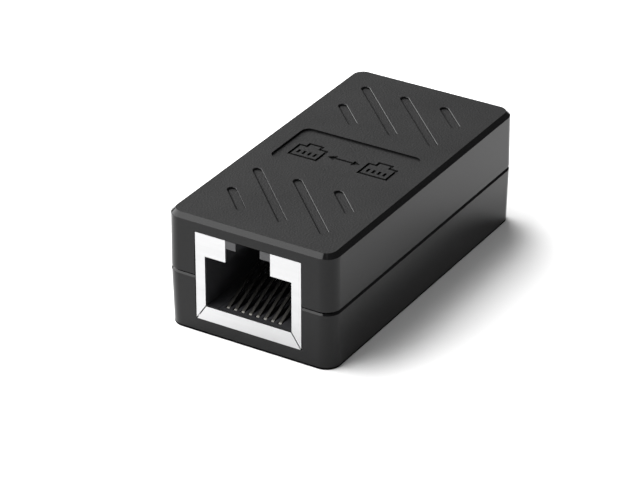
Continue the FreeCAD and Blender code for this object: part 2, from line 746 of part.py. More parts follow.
def contact_carrier(name, turned):
    """Insert under the plug cavity: eight channels, open tail slots and a rear comb."""
    body = new_body(name, turned)
    front = f"({METAL_IN} + Sizes.fit_gap)"
    comb_back = "(Sizes.cavity_depth - Sizes.fit_gap)"

    def side_view(sketch):
        add_polygon(
            sketch,
            [
                (at_depth(front), f"({BOARD_TOP} + {METAL_IN})"),
                (at_depth(RETURN_END), f"({BOARD_TOP} + {METAL_IN})"),
                (at_depth(RETURN_END), BOARD_TOP),
                (at_depth("Sizes.carrier_rear"), BOARD_TOP),
                (at_depth("Sizes.carrier_rear"), CARRIER_TOP),
                (at_depth(comb_back), CARRIER_TOP),
                (at_depth(comb_back), COMB_TOP),
                (at_depth("Sizes.comb_front"), COMB_TOP),
                (at_depth("Sizes.comb_front"), CARRIER_TOP),
                (at_depth(front), CARRIER_TOP),
            ],
        )

    extrude("Pad", body, "block", "YZ_Plane", f"-1 * {CARRIER_X}", f"2 * {CARRIER_X}", side_view)

    def channels_between(near, far):
        def draw(sketch):
            for number in range(1, CONTACTS + 1):
                middle = contact_x(number)
                add_rectangle(sketch, f"{middle} - {CHANNEL_X}", f"{middle} + {CHANNEL_X}", near, far)
        return draw

    comb_slot_end = at_depth(f"({comb_back} - Sizes.comb_web)")
    channel_end = at_depth("(Sizes.tail_row + Sizes.tail_row_pitch + Sizes.tail_bend)")
    lower = channels_between(at_depth(CHANNEL_FRONT), channel_end)
    extrude("Pocket", body, "channels", "XY_Plane", CHANNEL_LOW, f"{CARRIER_TOP} - {CHANNEL_LOW}", lower)
    upper = channels_between(at_depth(CHANNEL_FRONT), comb_slot_end)
    comb_rise = f"{COMB_TOP} - Sizes.comb_roof - {CARRIER_TOP}"
    extrude("Pocket", body, "comb_slots", "XY_Plane", CARRIER_TOP, comb_rise, upper)
    tails = channels_between(at_depth("(Sizes.tail_row - Sizes.tail_bend)"), channel_end)
    extrude("Pocket", body, "tail_slots", "XY_Plane", BOARD_TOP, f"{CHANNEL_LOW} - {BOARD_TOP}", tails)
    return body


# Contacts

def contact(name, number, turned):
    """Formed spring wire: tail, run under the cavity, front bend and sloping arm."""
    body = new_body(name, turned)
    depth = tail_depth(number)
    path = new_sketch(body, "path", "YZ_Plane", contact_x(number))
    tail_y = value(at_depth(depth))
    low = value(TAIL_LOW)
    run_z = value(RUN_Z)
    corner = value("Sizes.tail_bend")
    bend = value("Sizes.bend_radius")
    bend_y = value(at_depth("(Sizes.bend_depth + Sizes.bend_radius)"))
    tip_y = value(at_depth("Sizes.arm_reach"))
    slope = math.radians(value("Sizes.arm_angle"))
    up = FreeCAD.Vector(0, 0, 1)
    quarter = math.pi / 2
    arm_start = FreeCAD.Vector(
        bend_y - bend * math.sin(slope),
        run_z + bend + bend * math.cos(slope),
        0,
    )
    arm_end = FreeCAD.Vector(tip_y, arm_start.y + (tip_y - arm_start.x) * math.tan(slope), 0)
    corner_centre = FreeCAD.Vector(tail_y - corner, run_z - corner, 0)
    bend_centre = FreeCAD.Vector(bend_y, run_z + bend, 0)
    tail = path.addGeometry(
        Part.LineSegment(FreeCAD.Vector(tail_y, low, 0), FreeCAD.Vector(tail_y, run_z - corner, 0)),
        False,
    )
    elbow = path.addGeometry(Part.ArcOfCircle(Part.Circle(corner_centre, up, corner), 0, quarter), False)
    run = path.addGeometry(
        Part.LineSegment(
            FreeCAD.Vector(tail_y - corner, run_z, 0),
            FreeCAD.Vector(bend_y, run_z, 0),
        ),
        False,
    )
    loop = path.addGeometry(
        Part.ArcOfCircle(Part.Circle(bend_centre, up, bend), quarter + slope, 3 * quarter),
        False,
    )
    arm = path.addGeometry(Part.LineSegment(arm_start, arm_end), False)
    joins = [(tail, 2, elbow, 1), (elbow, 2, run, 1), (run, 2, loop, 2), (loop, 1, arm, 1)]
    for before, before_end, after, after_end in joins:
        path.addConstraint(Sketcher.Constraint("Tangent", before, before_end, after, after_end))
    path.addConstraint(Sketcher.Constraint("Vertical", tail))
    path.addConstraint(Sketcher.Constraint("Horizontal", run))
    pin_point(path, tail, 1, at_depth(depth), TAIL_LOW)
    pin_point(
        path,
        loop,
        3,
        at_depth("(Sizes.bend_depth + Sizes.bend_radius)"),
        f"({RUN_Z} + Sizes.bend_radius)",
    )
    drive(path, Sketcher.Constraint("Radius", elbow, corner), "Sizes.tail_bend")
    drive(path, Sketcher.Constraint("Radius", loop, bend), "Sizes.bend_radius")
    drive(path, Sketcher.Constraint("Angle", -1, 1, arm, 1, slope), "Sizes.arm_angle")
    drive(path, Sketcher.Constraint("DistanceX", -1, 1, arm, 2, tip_y), at_depth("Sizes.arm_reach"))
    section = new_sketch(body, "section", "XY_Plane", TAIL_LOW)
    add_rectangle(
        section,
        f"{contact_x(number)} - Sizes.contact_width / 2",
        f"{contact_x(number)} + Sizes.contact_width / 2",
        f"{at_depth(depth)} - Sizes.contact_thickness / 2",
        f"{at_depth(depth)} + Sizes.contact_thickness / 2",
    )
    doc.recompute()
    wire = body.newObject("PartDesign::AdditivePipe", "wire")
    wire.Profile = section
    wire.Spine = (path, [f"Edge{i}" for i in range(1, len(path.Shape.Edges) + 1)])
    doc.recompute()
    expected = path.Shape.Length * value("Sizes.contact_width") * value("Sizes.contact_thickness")
    if abs(body.Shape.Volume - expected) > PIPE_TOLERANCE * expected:
        raise RuntimeError(f"{name}: volume {body.Shape.Volume}, expected {expected}")
    return body


def jack(end, turned):
    """Every sub-part of one jack."""
    bodies = [
        jack_shield(f"{end}_jack_shield", turned),
        jack_housing(f"{end}_jack_housing", turned),
        contact_carrier(f"{end}_contact_carrier", turned),
    ]
    for number in range(1, CONTACTS + 1):
        bodies.append(contact(f"{end}_contact_{number}", number, turned))
    return bodies


bodies = [lower_shell(), upper_shell(), circuit_board()]
bodies += jack("front", turned=False)
bodies += jack("rear", turned=True)
doc.recompute()

for item in doc.Objects:
    if "Invalid" in item.State or "Error" in item.State:
        raise RuntimeError(f"{item.Label} failed: {item.State}")
for body in bodies:
    shape = body.Shape
    if shape.isNull() or not shape.isValid() or len(shape.Solids) != 1:
        raise RuntimeError(f"{body.Label} isn't one valid solid")

os.makedirs("parts", exist_ok=True)
for body in bodies:
    body.Shape.exportStep(os.path.join("parts", f"{body.Label}.step"))
    print(body.Label, round(body.Shape.Volume, 2), "mm3")
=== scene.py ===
import math

import bmesh
import bpy
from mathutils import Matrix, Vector


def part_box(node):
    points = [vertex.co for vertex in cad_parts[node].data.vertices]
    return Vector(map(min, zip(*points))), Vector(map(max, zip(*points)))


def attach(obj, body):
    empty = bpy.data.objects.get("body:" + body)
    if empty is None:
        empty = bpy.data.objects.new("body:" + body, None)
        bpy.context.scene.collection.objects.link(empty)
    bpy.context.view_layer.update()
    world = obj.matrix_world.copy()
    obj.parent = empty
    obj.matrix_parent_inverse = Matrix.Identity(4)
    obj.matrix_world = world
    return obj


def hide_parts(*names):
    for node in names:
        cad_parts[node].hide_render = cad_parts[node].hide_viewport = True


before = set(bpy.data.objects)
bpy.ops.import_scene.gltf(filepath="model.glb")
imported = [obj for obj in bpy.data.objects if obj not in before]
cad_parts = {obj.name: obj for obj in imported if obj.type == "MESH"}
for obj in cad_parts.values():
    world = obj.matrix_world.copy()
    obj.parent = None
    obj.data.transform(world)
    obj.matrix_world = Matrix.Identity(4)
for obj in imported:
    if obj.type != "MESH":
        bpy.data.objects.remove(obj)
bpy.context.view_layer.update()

# Shielded inline network coupler on a white studio floor.
# Pieces are modelled in millimetres, as on the bench, and brought to metres when they
# are finished. X is the width, Y the length and Z up; the front jack faces -Y.

MM = 0.001


def node_box(name):
    """The lowest and highest corner of a node, in millimetres."""
    low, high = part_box(name)
    return low / MM, high / MM


BOARD_LOW, BOARD_HIGH = node_box("circuit_board")
SHIELD_LOW, SHIELD_HIGH = node_box("front_jack_shield")
CARRIER_LOW, CARRIER_HIGH = node_box("front_contact_carrier")

# Sizes whose names end in _X and _Y are half sizes or places from the middle.

# Margins of the shapes that are cut away or fused on
BEYOND = 1.0  # past the surface that a cutter opens
OVERLAP = 0.5  # into the room that a cutter joins, or into what carries a shape
SINK = 0.3  # the same, where there is less depth
HAIR = 0.01  # just past a surface

# Shell
BODY_X = 22.86 / 2
BODY_Y = 44.45 / 2
ROOF_Z = node_box("upper_shell")[1].z
PARTING_Z = 7.55
CORNER_RADIUS = 1.9
TOP_CHAMFER = 0.55
BOTTOM_ROUND = 0.12
BOTTOM_STEPS = 3
PARTING_CHAMFER = 0.25
SHADOW_GAP = 0.2
SHADOW_DEPTH = 0.5
UPPER_DRAFT = math.radians(0.45)
LOWER_DRAFT = math.radians(1.1)
WALL = 1.5
INSIDE_X = BODY_X - WALL
INSIDE_Y = BODY_Y - WALL
INSIDE_RADIUS = 0.8
FLOOR_TOP = 0.9
ROOF_THICKNESS = 1.74
CEILING = ROOF_Z - ROOF_THICKNESS
LIP_THICKNESS = 0.6
LIP_HEIGHT = 0.8
LIP_CLEARANCE = 0.08
POST_Y = 12.0
POST_WALL_GAP = 0.15
POST_JACK_GAP = 0.2
POST_SKIN = 0.5
POST_RIB = 1.0
PIN_CLEARANCE = 0.05
PIN_REACH = 2.4
WINDOW_CLEARANCE = 0.05
WINDOW_SIDE_GAP = 0.1

# Roof decoration
PANEL_X = 16.5 / 2
PANEL_Y = 8.75 / 2
PANEL_RADIUS = 1.05
PANEL_DEPTH = 0.3
PANEL_FLOOR = ROOF_Z - PANEL_DEPTH
GROOVE_WIDTH = 1.2
GROOVE_DEPTH = 0.25
GROOVE_FLOOR = ROOF_Z - GROOVE_DEPTH
GROOVE_CHAMFER = 0.06
GROOVE_SLOPE = 0.2
GROOVE_SIDES = 36
GROOVE_PITCH = 5.65
GROOVE_FIELD_X = 14.7 / 2
GROOVE_FIELD_Y = 9.15 / 2
GROOVE_GROUP_Y = 12.8
ROW_OF_FOUR = (-1.5, -0.5, 0.5, 1.5)
SIGN_LINE = 0.34
SIGN_DEPTH = 0.24
SIGN_FLOOR = PANEL_FLOOR - SIGN_DEPTH
SIGN_Y = -0.4
SOCKET_PLACE = 4.85
SOCKET_X = 1.9
SOCKET_Y = 1.7
SOCKET_SHOULDER = 0.95
SOCKET_STEP_X = 0.9
PIN_MARK_PITCH = 2 * SOCKET_X / (len(ROW_OF_FOUR) + 1)
PIN_MARK_LOW = -1.05
PIN_MARK_HIGH = -0.2
ARROW_X = 1.55
ARROW_HEAD = 0.75

# Jack
FRONT = SHIELD_LOW.y
FRAME_X = SHIELD_HIGH.x
FRAME_LOW = BOARD_HIGH.z
FRAME_HIGH = SHIELD_HIGH.z
SHIELD_BACK = SHIELD_HIGH.y
HOUSING_BACK = node_box("front_jack_housing")[1].y
SHEET = 0.3
FIT_GAP = 0.03
SIDE_STRIP = 1.3
BOTTOM_STRIP = 1.93
CAVITY_X = FRAME_X - SIDE_STRIP
CAVITY_LOW = FRAME_LOW + BOTTOM_STRIP
PLUG_HEIGHT = 6.69
CAVITY_HIGH = CAVITY_LOW + PLUG_HEIGHT
CAVITY_DEPTH = 12.0
KEYWAY_X = 6.1 / 2
LEDGE_HEIGHT = 1.08
KEYWAY_HIGH = FRAME_HIGH - LEDGE_HEIGHT
LATCH_SLOT_X = 3.3 / 2
LATCH_WALL = 1.6
LATCH_RECESS = 9.5
MITRE_GAP = 0.14
MITRE_REACH = 1.4  # times the length of the mitred corner
BOTTOM_RETURN = 1.25
TOP_NOTCH = 2.4
LEG_WIDTH = 1.4
LEG_DEPTHS = (5.0, 14.0)
BARB_DEPTH = 14.0
BARB_LOW = FRAME_LOW + 6.0
BARB_WIDTH = 1.6
BARB_RISE = 1.0
BARB_PROUD = 0.2
CORE_WALL = 1.2
PEG_RADIUS = 0.9
PEG_DEPTH = 8.0
PEG_X = 10.6 / 2

# Contacts
CONTACTS = 8
CONTACT_PITCH = 1.02
CONTACT_WIDTH = 0.42
CONTACT_THICKNESS = 0.28
CHANNEL_X = CONTACT_WIDTH / 2 + 0.09
CHANNEL_GAP = 0.06
CHANNEL_OVERLAP = 0.2
RUN_Z = FRAME_LOW + 0.95
BEND_DEPTH = 1.2
BEND_RADIUS = 0.45
BEND_STEPS = 14
ARM_SLOPE = math.radians(24)
ARM_REACH = 11.0
COMB_DEPTH = 10.3
COMB_WEB = 0.5
COMB_ROOF = 0.3
TAIL_DEPTHS = (13.0, 15.54)
TAIL_BEND = 0.4
TAIL_STEPS = 8

# Soft edges, round corners and clean-up
SHELL_EDGE = 0.05
CRISP_EDGE = 0.012
METAL_EDGE = 0.035
PLASTIC_EDGE = 0.04
WIRE_EDGE = 0.05
SOFT_STEPS = 2
CORNER_STEPS = 10
ROD_SIDES = 32
SMOOTH_ANGLE = math.radians(32)
FLAT_ANGLE = math.radians(0.5)
WELD_GAP = 1e-4
LEVEL_GAP = 1e-3
FACING = 0.5  # share of a normal that makes a face look along an axis

# Borders between the shell's looks: where each starts and where it is complete
ROOF_LOOK = (ROOF_Z - 0.02, ROOF_Z - 0.005)
SUNK_LOOK = (GROOVE_FLOOR + 0.03, GROOVE_FLOOR + 0.01)
MIDDLE_X = (BODY_X - 2.0, BODY_X - 2.1)
MIDDLE_Y = (BODY_Y - 2.0, BODY_Y - 2.1)
SIGN_LOOK = (PANEL_FLOOR - 0.02, PANEL_FLOOR - 0.05)
# Painted shade: the lowest band of the shell, a contact shadow along the floor
PAINTED_CONTACT_SHADE_LOOK = (0.32, 0.26)

# Looks: colours, roughness, and bump heights in metres
ROOF_TINTS = ((0.0052, 0.0052, 0.0053), (0.0082, 0.0082, 0.0083))
SATIN_TINT = (0.005, 0.005, 0.0052, 1)
# Black ink for the engraved sign, also used for the painted contact shadow on the lowest edge
INK_AND_PAINTED_SHADE_TINT = (0.001, 0.001, 0.001, 1)
SHELL_SHINE = 0.18
SATIN_ROUGHNESS = 0.11
GRAIN_ROUGHNESS = (0.6, 0.8)
GRAIN_BUMP = 0.00007
SATIN_SHARE = 0.03  # of the grain's bump
JACK_TINTS = ((0.020, 0.020, 0.022), (0.028, 0.028, 0.030))
SHIELD_TINTS = ((0.455, 0.455, 0.458), (0.485, 0.485, 0.488))
SHIELD_ROUGHNESS = (0.26, 0.36)
WIRE_TINTS = ((0.06, 0.059, 0.055), (0.08, 0.077, 0.071))
BOARD_TINTS = ((0.012, 0.11, 0.04), (0.02, 0.16, 0.06))
FLOOR_TINT = (0.86, 0.86, 0.86, 1)
FINE_BUMP = 0.00001
RAMP_ENDS = (0.3, 0.7)

# Camera, as the photograph was taken, and studio, in metres
CAMERA_AZIMUTH = math.radians(31.055)
CAMERA_ELEVATION = math.radians(29.057)
CAMERA_DISTANCE = 0.359691
CAMERA_TARGET = Vector((0.000841, -0.00739, 0.00762))
CAMERA_LENS = 169.57
SENSOR_WIDTH = 36
STUDIO_WIDTH = 6


# Bench tools

def deselect_all():
    bpy.ops.object.select_all(action="DESELECT")


def pick_up(piece):
    """Makes one piece the only selected and active one."""
    deselect_all()
    piece.select_set(True)
    bpy.context.view_layer.objects.active = piece


def settle(piece):
    """Puts a piece's place, turn and scale into its mesh."""
    pick_up(piece)
    bpy.ops.object.transform_apply(location=True, rotation=True, scale=True)
    return piece


def add_block(name, low, high):
    """A box between two corners."""
    low, high = Vector(low), Vector(high)
    deselect_all()
    bpy.ops.mesh.primitive_cube_add(size=1, location=(low + high) / 2)
    piece = bpy.context.object
    piece.name = name
    piece.scale = high - low
    return settle(piece)


def add_rod(name, centre, radius, low, high, sides=ROD_SIDES, turn=0.0):
    """An upright cylinder or prism between two heights."""
    deselect_all()
    bpy.ops.mesh.primitive_cylinder_add(
        vertices=sides,
        radius=radius,
        depth=high - low,
        location=(*centre, (low + high) / 2),
        rotation=(0, 0, turn),
    )
    piece = bpy.context.object
    piece.name = name
    return settle(piece)


def start_editing(piece):
    pick_up(piece)
    bpy.ops.object.mode_set(mode="EDIT")
    bpy.ops.mesh.select_all(action="DESELECT")


def stop_editing():
    bpy.ops.object.mode_set(mode="OBJECT")


def choose(piece, kind, wanted):
    """In edit mode, selects just the vertices, edges or faces that wanted picks."""
    bpy.ops.mesh.select_mode(type=kind)
    bpy.ops.mesh.select_all(action="DESELECT")
    mesh = bmesh.from_edit_mesh(piece.data)
    parts = {"VERT": mesh.verts, "EDGE": mesh.edges, "FACE": mesh.faces}[kind]
    for part in parts:
        if wanted(part):
            part.select_set(True)
    bmesh.update_edit_mesh(piece.data)


def is_upright(edge):
    """True for an edge that runs up and down."""
    rise = edge.verts[1].co - edge.verts[0].co
    return abs(rise.z) > 2 * max(abs(rise.x), abs(rise.y))


def is_sharp(edge):
    """True for an edge where two faces meet at an angle that shows."""
    return edge.is_manifold and edge.calc_face_angle() > SMOOTH_ANGLE


def lies_at(height):
    """Picks what has all its corners at one height."""
    return lambda part: all(abs(corner.co.z - height) < LEVEL_GAP for corner in part.verts)


def bevel_edges(width, steps):
    """In edit mode, bevels the selected edges."""
    bpy.ops.mesh.bevel(offset=width, offset_type="OFFSET", segments=steps, affect="EDGES")


def draw_out(way):
    """In edit mode, extrudes what is selected along a way."""
    bpy.ops.mesh.extrude_region_move(TRANSFORM_OT_translate={"value": way})


def round_block(name, half_x, half_y, low, high, radius):
    """A centred block with round upright corners."""
    block = add_block(name, (-half_x, -half_y, low), (half_x, half_y, high))
    start_editing(block)
    choose(block, "EDGE", is_upright)
    bevel_edges(radius, CORNER_STEPS)
    stop_editing()
    return block


def merge(pieces):
    """Several separate shapes as one mesh."""
    deselect_all()
    for piece in pieces:
        piece.select_set(True)
    bpy.context.view_layer.objects.active = pieces[0]
    bpy.ops.object.join()
    return pieces[0]


def apply_modifier(piece, modifier):
    pick_up(piece)
    bpy.ops.object.modifier_apply(modifier=modifier.name)


def combine(piece, operation, shapes):
    """Cuts shapes from a piece, or fuses them to it, and removes them."""
    for shape in shapes:
        modifier = piece.modifiers.new("combine", "BOOLEAN")
        modifier.operation = operation
        modifier.solver = "EXACT"
        modifier.object = shape
        apply_modifier(piece, modifier)
        bpy.data.objects.remove(shape, do_unlink=True)
    return piece


def cut(piece, *shapes):
    return combine(piece, "DIFFERENCE", shapes)


def fuse(piece, *shapes):
    return combine(piece, "UNION", shapes)


def soften(piece, width, is_crisp=None):
    """Rounds every sharp edge a little, the crisp ones less, and evens out the shading."""
    start_editing(piece)
    bpy.ops.mesh.select_all(action="SELECT")
    bpy.ops.mesh.remove_doubles(threshold=WELD_GAP)
    bpy.ops.mesh.dissolve_limited(angle_limit=FLAT_ANGLE)
    choose(piece, "EDGE", is_sharp)
    bpy.ops.transform.edge_bevelweight(value=1.0)
    if is_crisp:
        choose(piece, "EDGE", lambda edge: is_sharp(edge) and is_crisp(edge))
        bpy.ops.transform.edge_bevelweight(value=CRISP_EDGE / width - 1.0)
    stop_editing()
    bevel = piece.modifiers.new("soft edges", "BEVEL")
    bevel.width = width
    bevel.segments = SOFT_STEPS
    bevel.limit_method = "WEIGHT"
    bevel.miter_outer = "MITER_ARC"
    apply_modifier(piece, bevel)
    pick_up(piece)
    bpy.ops.object.shade_smooth_by_angle(angle=SMOOTH_ANGLE)
    normals = piece.modifiers.new("even shading", "WEIGHTED_NORMAL")
    normals.keep_sharp = True
    apply_modifier(piece, normals)
    return piece


def to_metres(piece):
    """Brings a finished piece from millimetres to metres, with its place in its mesh."""
    piece.scale = (MM, MM, MM)
    return settle(piece)


def turned_copy(piece, name):
    """The same piece with its own mesh, turned half a turn about Z for the rear jack."""
    twin = piece.copy()
    twin.data = piece.data.copy()
    twin.name = name
    bpy.context.collection.objects.link(twin)
    twin.rotation_euler = (0, 0, math.pi)
    return settle(twin)


def hand_over(piece, node, material):
    """Gives a piece its material and lets it stand for its node."""
    piece.data.materials.clear()
    piece.data.materials.append(material)
    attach(piece, "root")
    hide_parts(node)


# Materials

def new_material(name, **sockets):
    """A principled material with constant values set on its own sockets."""
    material = bpy.data.materials.new(name)
    material.use_nodes = True
    shader = material.node_tree.nodes["Principled BSDF"]
    for socket, setting in sockets.items():
        shader.inputs[socket.replace("_", " ")].default_value = setting
    return material, material.node_tree, shader


def feed(tree, setting, socket):
    """Links an output to a socket, or sets the socket to a constant."""
    if isinstance(setting, bpy.types.NodeSocket):
        tree.links.new(setting, socket)
    else:
        socket.default_value = setting


def add_noise(tree, scale, detail, stretch=(1, 1, 1)):
    """A noise pattern on object coordinates, in features per metre."""
    place = tree.nodes.new("ShaderNodeTexCoord")
    mapping = tree.nodes.new("ShaderNodeMapping")
    mapping.inputs["Scale"].default_value = stretch
    noise = tree.nodes.new("ShaderNodeTexNoise")
    noise.inputs["Scale"].default_value = scale
    noise.inputs["Detail"].default_value = detail
    tree.links.new(place.outputs["Object"], mapping.inputs["Vector"])
    tree.links.new(mapping.outputs["Vector"], noise.inputs["Vector"])
    return noise.outputs["Fac"]


def add_ramp(tree, pattern, tints):
    """Turns a pattern into a blend of two colours."""
    ramp = tree.nodes.new("ShaderNodeValToRGB")
    for element, position, tint in zip(ramp.color_ramp.elements, RAMP_ENDS, tints):
        element.position = position
        element.color = (*tint, 1)
    tree.links.new(pattern, ramp.inputs["Fac"])
    return ramp.outputs["Color"]


def add_range(tree, pattern, ends):
    """Turns a pattern into a value between two others."""
    spread = tree.nodes.new("ShaderNodeMapRange")
    spread.inputs["To Min"].default_value, spread.inputs["To Max"].default_value = ends
    tree.links.new(pattern, spread.inputs["Value"])
    return spread.outputs["Result"]


def add_bump(tree, shader, pattern, strength, distance):
    """Raises a pattern on the surface; strength is a number or a mask."""
    bump = tree.nodes.new("ShaderNodeBump")
    bump.inputs["Distance"].default_value = distance
    feed(tree, strength, bump.inputs["Strength"])
    tree.links.new(pattern, bump.inputs["Height"])
    tree.links.new(bump.outputs["Normal"], shader.inputs["Normal"])


def mask_between(tree, axis, border):
    """Goes from 0 to 1 across a border, given as two distances from the origin on an axis."""
    place = tree.nodes.new("ShaderNodeTexCoord")
    parts = tree.nodes.new("ShaderNodeSeparateXYZ")
    size = tree.nodes.new("ShaderNodeMath")
    size.operation = "ABSOLUTE"
    blend = tree.nodes.new("ShaderNodeMapRange")
    blend.inputs["From Min"].default_value = border[0] * MM
    blend.inputs["From Max"].default_value = border[1] * MM
    tree.links.new(place.outputs["Object"], parts.inputs["Vector"])
    tree.links.new(parts.outputs[axis], size.inputs[0])
    tree.links.new(size.outputs["Value"], blend.inputs["Value"])
    return blend.outputs["Result"]


def join_masks(tree, operation, first, second):
    """Two masks as one: MAXIMUM for either of them, MULTIPLY for where both are."""
    joint = tree.nodes.new("ShaderNodeMath")
    joint.operation = operation
    tree.links.new(first, joint.inputs[0])
    tree.links.new(second, joint.inputs[1])
    return joint.outputs["Value"]


def mix_values(tree, mask, outside, inside):
    """One value outside a mask and another inside it; each is a number or an output."""
    mix = tree.nodes.new("ShaderNodeMix")
    tree.links.new(mask, mix.inputs["Factor"])
    feed(tree, outside, mix.inputs["A"])
    feed(tree, inside, mix.inputs["B"])
    return mix.outputs["Result"]


def mix_colours(tree, mask, outside, inside):
    """One colour outside a mask and another inside it; each is a colour or an output."""
    mix = tree.nodes.new("ShaderNodeMixRGB")
    tree.links.new(mask, mix.inputs["Fac"])
    feed(tree, outside, mix.inputs["Color1"])
    feed(tree, inside, mix.inputs["Color2"])
    return mix.outputs["Color"]


def shell_plastic():
    """Black moulding: fine grain on the roof and the sunken floors, smooth satin elsewhere.

    The engraved sign is darker than the rest, so that it reads from every side. The lowest
    edge is painted shade: black and without shine, a contact shadow along the floor.
    """
    material, tree, shader = new_material("grained black moulding with painted contact shade")
    middle_x = mask_between(tree, "X", MIDDLE_X)
    middle_y = mask_between(tree, "Y", MIDDLE_Y)
    middle = join_masks(tree, "MULTIPLY", middle_x, middle_y)
    sunk = join_masks(tree, "MULTIPLY", mask_between(tree, "Z", SUNK_LOOK), middle)
    grained = join_masks(tree, "MAXIMUM", mask_between(tree, "Z", ROOF_LOOK), sunk)
    sign = join_masks(tree, "MULTIPLY", mask_between(tree, "Z", SIGN_LOOK), middle)
    # Painted shade: a contact shadow along the lowest edge
    painted_contact_shade = mask_between(tree, "Z", PAINTED_CONTACT_SHADE_LOOK)
    ink_and_painted_shade = join_masks(tree, "MAXIMUM", sign, painted_contact_shade)
    grain = add_noise(tree, scale=4200, detail=2)
    clouds = add_noise(tree, scale=160, detail=4)
    tint = mix_colours(tree, grained, SATIN_TINT, add_ramp(tree, clouds, ROOF_TINTS))
    roughness = add_range(tree, grain, GRAIN_ROUGHNESS)
    feed(tree, mix_colours(tree, ink_and_painted_shade, tint, INK_AND_PAINTED_SHADE_TINT), shader.inputs["Base Color"])
    # Painted shade: no shine on the lowest edge, so its contact shadow stays black
    feed(tree, mix_values(tree, painted_contact_shade, SHELL_SHINE, 0.0), shader.inputs["Specular IOR Level"])
    feed(tree, mix_values(tree, grained, SATIN_ROUGHNESS, roughness), shader.inputs["Roughness"])
    add_bump(tree, shader, grain, mix_values(tree, grained, SATIN_SHARE, 1.0), GRAIN_BUMP)
    return material


def jack_plastic():
    """Smooth black moulding of the jack's inner parts."""
    material, tree, shader = new_material("smooth black moulding", Roughness=0.38)
    flow = add_noise(tree, scale=900, detail=3)
    feed(tree, add_ramp(tree, flow, JACK_TINTS), shader.inputs["Base Color"])
    add_bump(tree, shader, flow, strength=0.15, distance=FINE_BUMP)
    return material


def shield_metal():
    """Bright plated sheet with a faint rolled grain."""
    material, tree, shader = new_material("bright plated sheet", Metallic=1.0)
    rolled = add_noise(tree, scale=1800, detail=4, stretch=(0.05, 1, 1))
    feed(tree, add_ramp(tree, rolled, SHIELD_TINTS), shader.inputs["Base Color"])
    feed(tree, add_range(tree, rolled, SHIELD_ROUGHNESS), shader.inputs["Roughness"])
    add_bump(tree, shader, rolled, strength=0.08, distance=FINE_BUMP)
    return material


def contact_metal():
    """Spring wire with a faint drawn grain, dulled all over."""
    material, tree, shader = new_material("dulled spring wire", Metallic=1.0, Roughness=0.42)
    drawn = add_noise(tree, scale=2600, detail=3, stretch=(1, 0.1, 1))
    feed(tree, add_ramp(tree, drawn, WIRE_TINTS), shader.inputs["Base Color"])
    return material


def board_laminate():
    """Green solder mask over faint glass weave."""
    material, tree, shader = new_material("green board laminate", Roughness=0.3)
    weave = add_noise(tree, scale=1400, detail=2)
    feed(tree, add_ramp(tree, weave, BOARD_TINTS), shader.inputs["Base Color"])
    add_bump(tree, shader, weave, strength=0.2, distance=FINE_BUMP)
    return material


# Shell halves

def post_places():
    """Centres of the four posts, and their radius."""
    room = INSIDE_X - FRAME_X
    radius = (room - POST_WALL_GAP - POST_JACK_GAP) / 2
    x = INSIDE_X - POST_WALL_GAP - radius
    places = [(sx * x, sy * POST_Y) for sx in (-1, 1) for sy in (-1, 1)]
    return places, radius


def shell_outside(name, outer_z, draft, edge, steps):
    """One shell half as a solid: round corners, draft away from the parting, broken edges."""
    low, high = sorted((PARTING_Z, outer_z))
    block = round_block(name, BODY_X, BODY_Y, low, high, CORNER_RADIUS)
    inset = (high - low) * math.tan(draft)
    start_editing(block)
    choose(block, "FACE", lies_at(outer_z))
    shrink = ((BODY_X - inset) / BODY_X, (BODY_Y - inset) / BODY_Y, 1)
    bpy.ops.transform.resize(value=shrink, center_override=(0, 0, outer_z))
    choose(block, "EDGE", lies_at(outer_z))
    bevel_edges(edge, steps)
    choose(block, "EDGE", lies_at(PARTING_Z))
    bevel_edges(PARTING_CHAMFER, 1)
    stop_editing()
    return block


def shadow_gap_ring():
    """A thin ring around the parting, which leaves a dark line between the halves."""
    low, high = PARTING_Z - BEYOND, PARTING_Z + SHADOW_GAP
    ring = round_block("shadow gap", BODY_X + BEYOND, BODY_Y + BEYOND, low, high, BEYOND)
    land = round_block(
        "land",
        BODY_X - SHADOW_DEPTH,
        BODY_Y - SHADOW_DEPTH,
        low - BEYOND,
        high + BEYOND,
        CORNER_RADIUS - SHADOW_DEPTH,
    )
    return cut(ring, land)


def window_block(low, high):
    """The shape of both jack windows, right through the shell."""
    x = FRAME_X + WINDOW_SIDE_GAP
    y = BODY_Y + BEYOND
    return add_block("window", (-x, -y, low), (x, y, high))


def groove_cutter(start, end):
    """A round-ended cutter between two points of the roof, with flared sides on top.

    Its front side slopes down to the floor, which draws a dark line along that rim.
    """
    run = Vector(end) - Vector(start)
    flare_start = ROOF_Z - GROOVE_CHAMFER
    flare = 4 * GROOVE_CHAMFER  # on past the roof
    radius = GROOVE_WIDTH / 2 - GROOVE_CHAMFER
    turn = math.pi / GROOVE_SIDES
    cutter = add_rod("slot", (0, 0), radius, GROOVE_FLOOR, flare_start, GROOVE_SIDES, turn)
    start_editing(cutter)
    choose(cutter, "FACE", lies_at(GROOVE_FLOOR))
    narrower = 1 - GROOVE_SLOPE / (2 * radius)
    bpy.ops.transform.resize(value=(1, narrower, 1), center_override=(0, radius, 0))
    choose(cutter, "FACE", lies_at(flare_start))
    draw_out((0, 0, flare))
    wider = (radius + flare) / radius
    bpy.ops.transform.resize(value=(wider, wider, 1), center_override=(0, 0, 0))
    choose(cutter, "VERT", lambda corner: corner.co.x > 0)
    bpy.ops.transform.translate(value=(run.length, 0, 0))
    stop_editing()
    cutter.rotation_euler = (0, 0, math.atan2(run.y, run.x))
    cutter.location = (*start, 0)
    return settle(cutter)


